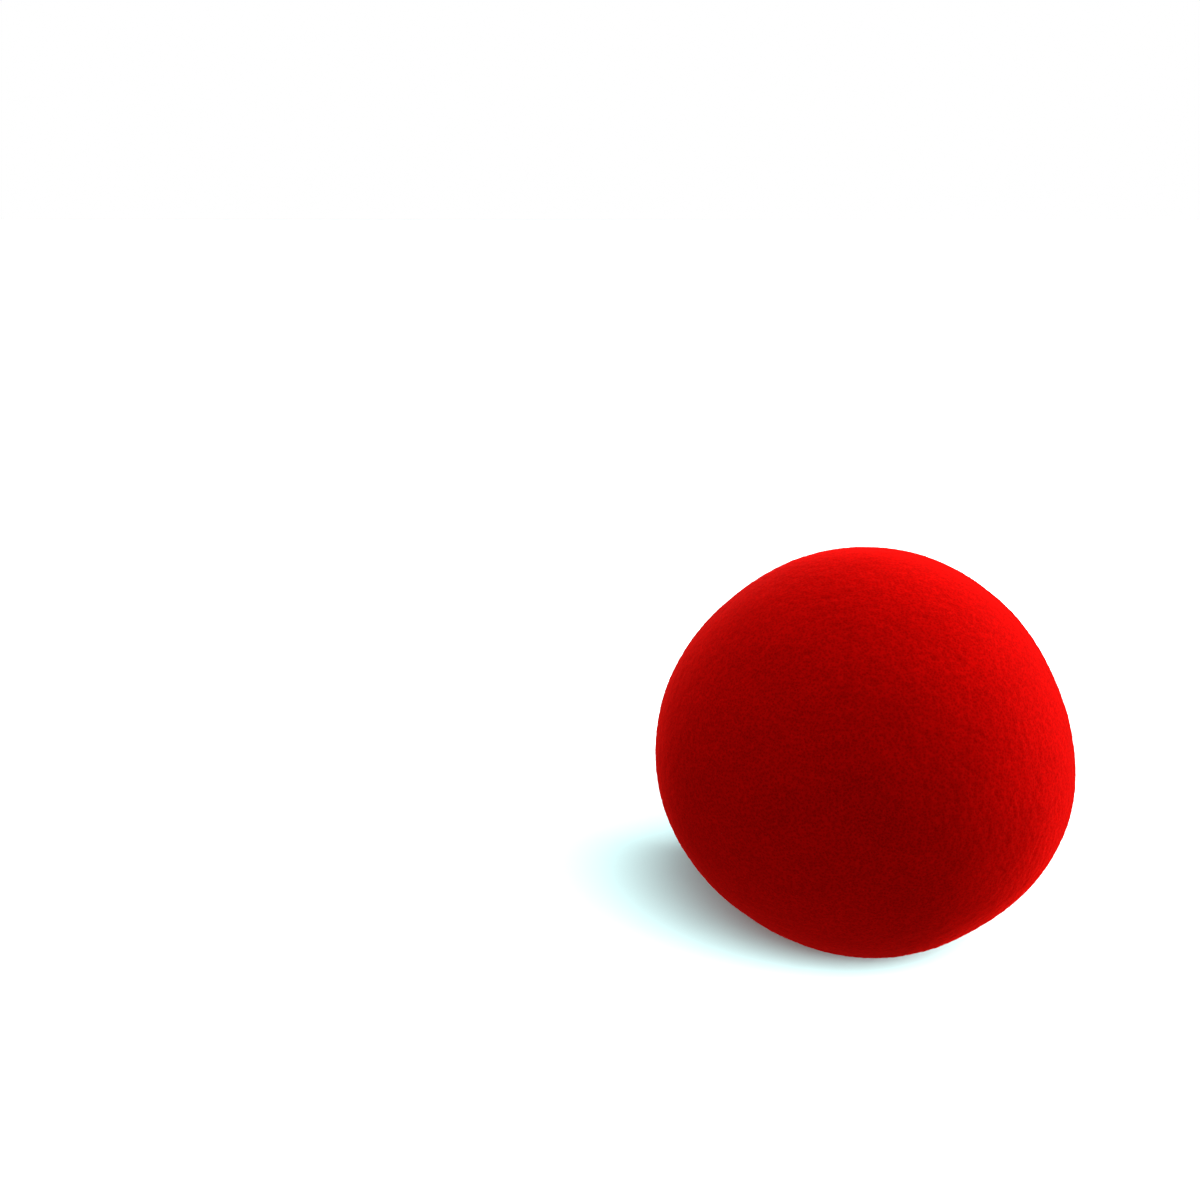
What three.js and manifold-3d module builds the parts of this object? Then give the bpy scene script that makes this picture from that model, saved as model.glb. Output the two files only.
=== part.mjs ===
// A clown nose: one soft foam ball with a knife-cut slit in its back, which opens like a
// clothes-peg over the wearer's nose. It lies on a table with its closed front looking up a little.
// Millimetres and degrees. +X is to the right seen from the front, +Y goes from front to back, +Z is up.
// The origin is on the table, under the middle of the ball.
import * as THREE from "three";
import { mergeVertices } from "three/addons/utils/BufferGeometryUtils.js";
import Module from "manifold-3d";

// The ball, measured from its widest ring
const BALL_WIDTH = 50;
const BALL_HEIGHT = 49.4;
const FRONT_DEPTH = 24;
const BACK_DEPTH = 23;
const RING_SEGMENTS = 64;
const DEPTH_SEGMENTS = 40;

// The slit, measured at its mouth in the back of the ball
const SLIT_LENGTH = 31;
const SLIT_GAPE = 9;
const SLIT_DEPTH = 24;
const KNIFE_WIDTH = 0.6;
const LIP_SEGMENTS = 16;

// How the ball lies
const REST_TILT = 18;
const FOOT_SAG = 0.6;
// Counted in widths of the ball
const TABLE_SPAN = 4;

// Foam's open cells leave no gloss
const FOAM_COLOUR = 0xe3100c;
const FOAM_ROUGHNESS = 0.95;

// The widest ring isn't quite round: a row for each kind of unevenness, with the number of
// bulges it makes, their height as a share of the ball's radius, and where the first one is,
// counted in degrees from the right, anticlockwise seen from the front
const UNEVENNESS = [
  { bulges: 2, share: 0.007, at: 144 },
  { bulges: 3, share: 0.0114, at: 81 },
  { bulges: 4, share: 0.0068, at: 82 },
  { bulges: 5, share: 0.0037, at: 57 },
  { bulges: 6, share: 0.0024, at: 40 },
];

// The slit's sections, a row for each depth as a share of the slit's own, with what is left
// there of its mouth's length and gape. The first row lies outside the ball, so that the cut
// goes through the skin
const SLIT_SECTIONS = [
  { depth: -0.2, length: 1.0, gape: 1.1 },
  { depth: 0.0, length: 1.0, gape: 1.0 },
  { depth: 0.3, length: 1.0, gape: 0.92 },
  { depth: 0.6, length: 0.97, gape: 0.78 },
  { depth: 0.82, length: 0.92, gape: 0.56 },
  { depth: 0.95, length: 0.87, gape: 0.3 },
  { depth: 1.0, length: 0.84, gape: 0.08 },
];

const wasm = await Module();
wasm.setup();

const radians = THREE.MathUtils.degToRad;

function solidOf(geometry) {
  const bare = geometry.clone();
  bare.deleteAttribute("normal");
  bare.deleteAttribute("uv");
  const merged = mergeVertices(bare);
  return new wasm.Manifold(
    new wasm.Mesh({
      numProp: 3,
      vertProperties: new Float32Array(merged.attributes.position.array),
      triVerts: new Uint32Array(merged.index.array),
    }),
  );
}

function geometryOf(solid) {
  const mesh = solid.getMesh();
  const shared = new THREE.BufferGeometry();
  shared.setAttribute("position", new THREE.BufferAttribute(mesh.vertProperties, 3));
  shared.setIndex(new THREE.BufferAttribute(mesh.triVerts, 1));
  const faceted = shared.toNonIndexed();
  faceted.computeVertexNormals();
  return faceted;
}

// How much the ball's surface stands out, as a share of its radius, at a point of the unit sphere.
// Each kind of unevenness fades towards the middle of the front and of the back, so that the
// surface is smooth there
function unevennessAt(point) {
  const outward = Math.hypot(point.x, point.z);
  const angle = Math.atan2(point.z, point.x);
  return UNEVENNESS.reduce((sum, row) => {
    const wave = Math.cos(row.bulges * (angle - radians(row.at)));
    return sum + row.share * outward ** row.bulges * wave;
  }, 0);
}

// The whole ball, with its poles at the middle of its front and of its back
function ballGeometry() {
  const geometry = new THREE.SphereGeometry(1, RING_SEGMENTS, DEPTH_SEGMENTS);
  const position = geometry.attributes.position;
  const point = new THREE.Vector3();
  for (let i = 0; i < position.count; i++) {
    point.fromBufferAttribute(position, i);
    const reach = 1 + unevennessAt(point);
    point.x *= (BALL_WIDTH / 2) * reach;
    point.y *= point.y < 0 ? FRONT_DEPTH : BACK_DEPTH;
    point.z *= (BALL_HEIGHT / 2) * reach;
    position.setXYZ(i, point.x, point.y, point.z);
  }
  return geometry;
}

// One section of the slit: two bowed lips that meet in a knife's width at both ends
function slitSection(row) {
  const halfLength = (SLIT_LENGTH * row.length) / 2;
  const halfKnife = KNIFE_WIDTH / 2;
  const bow = Math.max((SLIT_GAPE * row.gape) / 2 - halfKnife, 0);
  const y = BACK_DEPTH - SLIT_DEPTH * row.depth;
  const lip = (side) =>
    Array.from({ length: LIP_SEGMENTS + 1 }, (_, i) => {
      const along = side * ((2 * i) / LIP_SEGMENTS - 1);
      const x = side * (halfKnife + bow * (1 - along ** 2));
      return new THREE.Vector3(x, y, along * halfLength);
    });
  return [...lip(1), ...lip(-1)];
}

// A closed body through sections with the same number of points, capped at its first and last
function loftGeometry(sections) {
  const count = sections[0].length;
  const index = [];
  sections.slice(1).forEach((_, k) => {
    for (let i = 0; i < count; i++) {
      const [a, b] = [k * count + i, k * count + ((i + 1) % count)];
      index.push(a, b, a + count, b, b + count, a + count);
    }
  });
  const last = (sections.length - 1) * count;
  for (let i = 1; i < count - 1; i++) {
    index.push(0, i + 1, i);
    index.push(last, last + i, last + i + 1);
  }
  const geometry = new THREE.BufferGeometry().setFromPoints(sections.flat());
  geometry.setIndex(index);
  return geometry;
}

// Everything under the table's top, which the soft ball gives way to
function underTable(top) {
  const side = TABLE_SPAN * BALL_WIDTH;
  const geometry = new THREE.BoxGeometry(side, side, side);
  geometry.translate(0, 0, top - side / 2);
  return geometry;
}

function foamBallMesh() {
  const tilt = new THREE.Matrix4().makeRotationX(-radians(REST_TILT));
  const ball = ballGeometry().applyMatrix4(tilt);
  const slit = loftGeometry(SLIT_SECTIONS.map(slitSection)).applyMatrix4(tilt);
  ball.computeBoundingBox();
  const tableTop = ball.boundingBox.min.z + FOOT_SAG;
  const solid = solidOf(ball).subtract(solidOf(slit)).subtract(solidOf(underTable(tableTop)));
  const geometry = geometryOf(solid);
  geometry.computeBoundingBox();
  const middle = geometry.boundingBox.getCenter(new THREE.Vector3());
  geometry.translate(-middle.x, -middle.y, -tableTop);
  const material = new THREE.MeshStandardMaterial({
    color: FOAM_COLOUR,
    roughness: FOAM_ROUGHNESS,
    metalness: 0,
  });
  const mesh = new THREE.Mesh(geometry, material);
  mesh.name = "foam_ball";
  return mesh;
}

const clownNose = new THREE.Group();
clownNose.add(foamBallMesh());

export default clownNose;
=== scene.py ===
"""A red foam clown nose lying on a pale table, its closed front looking up a little.

One soft ball of very fine polyurethane foam, with a knife-cut slit in its back that the wearer's
nose goes into. Metres, in the frame's own axes: +X to the right seen from the front, +Y to the back.
"""

from math import pi, radians

import bpy
from mathutils import Euler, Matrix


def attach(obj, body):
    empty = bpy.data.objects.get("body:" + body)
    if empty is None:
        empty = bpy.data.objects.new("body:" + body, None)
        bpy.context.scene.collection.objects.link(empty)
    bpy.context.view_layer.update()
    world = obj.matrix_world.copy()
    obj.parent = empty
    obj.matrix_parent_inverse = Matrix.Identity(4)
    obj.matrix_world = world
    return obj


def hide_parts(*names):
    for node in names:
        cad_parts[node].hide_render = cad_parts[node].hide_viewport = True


MM = 0.001

# The foam's mesh. The smoothing that takes the solid's facets away also draws the skin in a little,
# and the swell gives that back
WELD_REACH = 0.001 * MM
VOXEL = 0.37 * MM
FACET_SMOOTHING = 60
SMOOTHING_SHRINKAGE = 0.07 * MM

# The skin's relief. The swells are the low unevenness of a ball that came soft out of its mould, and
# the nibs are the ends of broken cell walls, which roughen its outline
SWELL_SPACING = 9 * MM
SWELL_HEIGHT = 0.22 * MM
NIB_SPACING = 0.55 * MM
NIB_HEIGHT = 0.06 * MM

# Real cells of this foam are 0.1 to 0.2 mm wide, too fine to show, so they are drawn coarser. Those
# that the knife opened in the slit's walls are wider and deeper than those of the moulded skin
SKIN_CELL_WIDTH = 0.30 * MM
SKIN_PORE_DEPTH = 0.016 * MM
CUT_CELL_WIDTH = 0.55 * MM
CUT_PORE_DEPTH = 0.12 * MM
BLOTCH_WIDTH = 6 * MM

# How far light wanders inside the foam, which is far less for green and blue than for red
GLOW_DEPTH = 1.2 * MM
GLOW_DEPTH_SHARES = (1.0, 0.12, 0.08)

# How the slit's cut walls are told from the ball's skin: by where they lie, and by how far their
# normals turn to the side
SLIT_HALF_GAPE = 5.2 * MM
SLIT_FRONT_END = -3 * MM
WALL_TURN = 0.55

# The camera, which was worked out from the photograph
CAMERA_DISTANCE = 194.2 * MM
CAMERA_HEIGHT = 87.9 * MM
CAMERA_PAN = 9.45
CAMERA_PITCH = 13.2
LENS = 49.5
SENSOR = 36
NEAREST_SEEN = 10 * MM

# The studio. The wall's light is a little stronger from below, where the table would send it back
FLOOR_SPAN = 40
WALL_GLOW = "#E6F2F4"
WALL_LIGHT = 0.40
GLOW_FROM_BELOW = 0.56
# Each softbox: name, azimuth, elevation, spread, strength, colour and the one thing that it lights
SOFTBOXES = [
    ("key", 117, 16, 50, 1.9, "#FFFFFF", "ball"),
    ("overhead", 180, 70, 80, 0.82, "#F4FBFC", "ball"),
    ("rim", -155, 15, 50, 0.5, "#F4FBFC", "ball"),
    ("table_light", 38, 31, 80, 7.0, "#DCFFFF", "table"),
]


def linear(hex_colour):
    """An sRGB hex colour as linear red, green, blue and alpha."""
    shares = [int(hex_colour[i : i + 2], 16) / 255 for i in (1, 3, 5)]
    return [s / 12.92 if s <= 0.04045 else ((s + 0.055) / 1.055) ** 2.4 for s in shares] + [1.0]


def node(tree, kind, settings=None, **links):
    """Adds a node. Settings go to its properties and, where the name is a socket's, to the socket."""
    made = tree.nodes.new(kind)
    for name, value in (settings or {}).items():
        if hasattr(made, name):
            setattr(made, name, value)
        else:
            made.inputs[name].default_value = value
    for name, source in links.items():
        tree.links.new(source, made.inputs[name.replace("_", " ")])
    return made


def only(piece):
    """Selects one object and nothing else."""
    bpy.ops.object.select_all(action="DESELECT")
    piece.select_set(True)
    bpy.context.view_layer.objects.active = piece


def modify(piece, kind, **settings):
    """Adds a modifier with its settings and applies it."""
    only(piece)
    modifier = piece.modifiers.new(kind.title(), kind)
    for name, value in settings.items():
        setattr(modifier, name, value)
    bpy.ops.object.modifier_apply(modifier=modifier.name)


# The materials


def new_material(name):
    material = bpy.data.materials.new(name)
    material.use_nodes = True
    material.node_tree.nodes.clear()
    return material, material.node_tree


def foam_material(name, cell_width, pore_depth, pore_shade_colour, colour, wall_colour):
    """Open-celled polyurethane foam, dyed through, with thin walls between its pores, and the pores painted
    a darker red as shade in their hollows.
    """
    material, tree = new_material(name)
    place = node(tree, "ShaderNodeTexCoord").outputs["Object"]

    # The cells, and a noise that makes some of them shallower than others and, by painted shade, darker
    cells = node(
        tree, "ShaderNodeTexVoronoi", {"Scale": 1 / cell_width, "Randomness": 1.0}, Vector=place
    )
    grain = node(
        tree,
        "ShaderNodeTexNoise",
        {"Scale": 0.45 / cell_width, "Detail": 4.0, "Roughness": 0.7},
        Vector=place,
    )
    walls = node(
        tree,
        "ShaderNodeMapRange",
        {"From Min": 0.15, "From Max": 0.75},
        Value=cells.outputs["Distance"],
    )
    relief = node(tree, "ShaderNodeMath", {"operation": "MULTIPLY"})
    tree.links.new(walls.outputs["Result"], relief.inputs[0])
    tree.links.new(grain.outputs["Fac"], relief.inputs[1])
    height = relief.outputs["Value"]

    # Painted shade: the lower the relief, the darker the red, so the pores' hollows are painted dark and
    # the walls light
    colours = node(tree, "ShaderNodeValToRGB", None, Fac=height)
    ramp = colours.color_ramp
    ramp.elements[0].position = 0.02
    ramp.elements[0].color = linear(pore_shade_colour)
    ramp.elements[1].position = 0.55
    ramp.elements[1].color = linear(wall_colour)
    middle = ramp.elements.new(0.22)
    middle.color = linear(colour)

    # The dye takes a little more here and a little less there
    blotches = node(
        tree,
        "ShaderNodeTexNoise",
        {"Scale": 1 / BLOTCH_WIDTH, "Detail": 5.0, "Roughness": 0.6},
        Vector=place,
    )
    shade = node(
        tree,
        "ShaderNodeMapRange",
        {"From Min": 0.3, "From Max": 0.7, "To Min": 0.93, "To Max": 1.05},
        Value=blotches.outputs["Fac"],
    )
    mottled = node(tree, "ShaderNodeVectorMath", {"operation": "SCALE"}, Scale=shade.outputs["Result"])
    tree.links.new(colours.outputs["Color"], mottled.inputs[0])

    bump = node(tree, "ShaderNodeBump", {"Strength": 1.0, "Distance": pore_depth}, Height=height)
    # Broken cell walls catch the light at the outline as a nap does, in the foam's own red, and
    # leave no gloss
    foam = node(
        tree,
        "ShaderNodeBsdfPrincipled",
        {
            "Roughness": 0.95,
            "IOR": 1.45,
            "Specular IOR Level": 0.01,
            "Sheen Weight": 0.8,
            "Sheen Roughness": 0.4,
            "Sheen Tint": linear("#FF1008"),
            "Subsurface Weight": 0.15,
            "Subsurface Radius": GLOW_DEPTH_SHARES,
            "Subsurface Scale": GLOW_DEPTH,
        },
        Base_Color=mottled.outputs["Vector"],
        Normal=bump.outputs["Normal"],
    )
    node(tree, "ShaderNodeOutputMaterial", None, Surface=foam.outputs["BSDF"])
    return material


def skin_material():
    """The moulded skin, which gives the eye a very fine, matt, velvety red with a bright limb."""
    # The first red is painted shade in the pores; the other two are the foam's red and its lighter cell
    # walls
    return foam_material(
        "moulded_polyurethane_foam", SKIN_CELL_WIDTH, SKIN_PORE_DEPTH, "#A00100", "#B20200", "#C40301"
    )


def cut_material():
    """The knife-cut foam of the slit's walls, which gives the eye open pores, painted dark as shade in
    their hollows, and a darker red.
    """
    # The first red is painted shade in the pores; the other two are the cut foam's red and its lighter cell
    # walls
    return foam_material(
        "cut_polyurethane_foam", CUT_CELL_WIDTH, CUT_PORE_DEPTH, "#780000", "#A80200", "#BE0502"
    )


def table_material():
    """Smooth white laminate, matt, which gives the eye a soft shadow and nothing else."""
    material, tree = new_material("white_laminate")
    board = node(
        tree,
        "ShaderNodeBsdfPrincipled",
        {"Base Color": linear("#C4C8C8"), "Roughness": 0.7, "Specular IOR Level": 0.0},
    )
    node(tree, "ShaderNodeOutputMaterial", None, Surface=board.outputs["BSDF"])
    return material


# The foam ball


def foam_ball(solid):
    """The ball as it lies, from the frame's solid, with its facets smoothed away and its skin roughened."""
    only(solid)
    bpy.ops.object.duplicate()
    ball = bpy.context.active_object
    ball.name = "foam_ball_skin"
    ball.parent = None
    bpy.ops.object.mode_set(mode="EDIT")
    bpy.ops.mesh.select_all(action="SELECT")
    bpy.ops.mesh.remove_doubles(threshold=WELD_REACH)
    bpy.ops.object.mode_set(mode="OBJECT")
    modify(ball, "REMESH", mode="VOXEL", voxel_size=VOXEL)
    modify(ball, "SMOOTH", factor=0.5, iterations=FACET_SMOOTHING)

    swell = bpy.data.textures.new("swell", "CLOUDS")
    swell.noise_scale = SWELL_SPACING
    modify(
        ball,
        "DISPLACE",
        texture=swell,
        texture_coords="LOCAL",
        strength=SWELL_HEIGHT,
        mid_level=0.5 - SMOOTHING_SHRINKAGE / SWELL_HEIGHT,
    )

    nibs = bpy.data.textures.new("nibs", "CLOUDS")
    nibs.noise_scale = NIB_SPACING
    nibs.noise_depth = 1
    nibs.intensity = 0.72
    nibs.contrast = 2.5
    modify(ball, "DISPLACE", texture=nibs, texture_coords="LOCAL", strength=NIB_HEIGHT, mid_level=0)
    return ball


def dress(ball):
    """Gives the ball its skin and, on the slit's walls, the cut foam."""
    ball.data.materials.clear()
    ball.data.materials.append(skin_material())
    ball.data.materials.append(cut_material())
    for face in ball.data.polygons:
        in_slit = abs(face.center.x) < SLIT_HALF_GAPE and face.center.y > SLIT_FRONT_END
        face.material_index = int(in_slit and abs(face.normal.x) > WALL_TURN)
    only(ball)
    bpy.ops.object.shade_smooth()


# The studio


def add_camera():
    bpy.ops.object.camera_add(
        location=(0, -CAMERA_DISTANCE, CAMERA_HEIGHT),
        rotation=(radians(90 - CAMERA_PITCH), 0, radians(CAMERA_PAN)),
    )
    camera = bpy.context.active_object
    camera.data.lens = LENS
    camera.data.sensor_width = SENSOR
    camera.data.clip_start = NEAREST_SEEN
    bpy.context.scene.camera = camera


def add_soft_light(name, azimuth, elevation, spread, strength, colour, lit):
    """A distant softbox. Azimuth 0 is before the ball and 90 at its right; spread is how wide it looks."""
    towards = Euler((radians(90 - elevation), 0, radians(azimuth)))
    bpy.ops.object.light_add(type="SUN", rotation=towards)
    light = bpy.context.active_object
    light.name = name
    light.data.angle = radians(spread)
    light.data.energy = strength * pi
    light.data.color = linear(colour)[:3]
    light.light_linking.receiver_collection = lit


def add_world():
    """A white wall far behind, which gives little light of its own, and a little more from below."""
    world = bpy.data.worlds.new("studio")
    bpy.context.scene.world = world
    world.use_nodes = True
    tree = world.node_tree
    tree.nodes.clear()
    seen = node(tree, "ShaderNodeLightPath").outputs["Is Camera Ray"]
    way = node(tree, "ShaderNodeTexCoord").outputs["Generated"]
    height = node(tree, "ShaderNodeSeparateXYZ", None, Vector=way).outputs["Z"]
    strength = node(
        tree,
        "ShaderNodeMapRange",
        {"From Min": -0.6, "From Max": 0.2, "To Min": GLOW_FROM_BELOW, "To Max": WALL_LIGHT},
        Value=height,
    )
    dim = node(
        tree,
        "ShaderNodeBackground",
        {"Color": linear(WALL_GLOW)},
        Strength=strength.outputs["Result"],
    )
    white = node(tree, "ShaderNodeBackground", {"Color": linear("#FFFFFF")})
    wall = node(tree, "ShaderNodeMixShader", None, Fac=seen)
    tree.links.new(dim.outputs["Background"], wall.inputs[1])
    tree.links.new(white.outputs["Background"], wall.inputs[2])
    node(tree, "ShaderNodeOutputWorld", None, Surface=wall.outputs["Shader"])


def add_table():
    bpy.ops.mesh.primitive_plane_add(size=FLOOR_SPAN, location=(0, 0, 0))
    table = bpy.context.active_object
    table.name = "table_top"
    table.data.materials.append(table_material())
    # The table is hidden from diffuse rays, which keeps its glow off the ball
    table.visible_diffuse = False
    return table


def add_studio(ball):
    """The table, the wall and the softboxes. The ball and the table each have lights of their own."""
    lit = {"ball": bpy.data.collections.new("lit_ball"), "table": bpy.data.collections.new("lit_table")}
    lit["ball"].objects.link(ball)
    lit["table"].objects.link(add_table())
    add_world()
    for *softbox, thing in SOFTBOXES:
        add_soft_light(*softbox, lit[thing])
    # A saturated red stays red where it is bright
    bpy.context.scene.view_settings.view_transform = "Standard"


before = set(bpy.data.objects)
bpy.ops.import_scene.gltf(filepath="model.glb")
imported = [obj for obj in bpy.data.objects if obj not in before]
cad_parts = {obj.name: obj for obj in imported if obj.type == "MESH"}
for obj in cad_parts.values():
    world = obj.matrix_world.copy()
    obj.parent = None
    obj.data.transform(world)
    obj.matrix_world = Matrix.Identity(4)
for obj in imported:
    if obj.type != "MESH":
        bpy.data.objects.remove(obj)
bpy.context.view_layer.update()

add_camera()
ball = foam_ball(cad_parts["foam_ball"])
dress(ball)
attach(ball, "root")
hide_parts("foam_ball")
add_studio(ball)
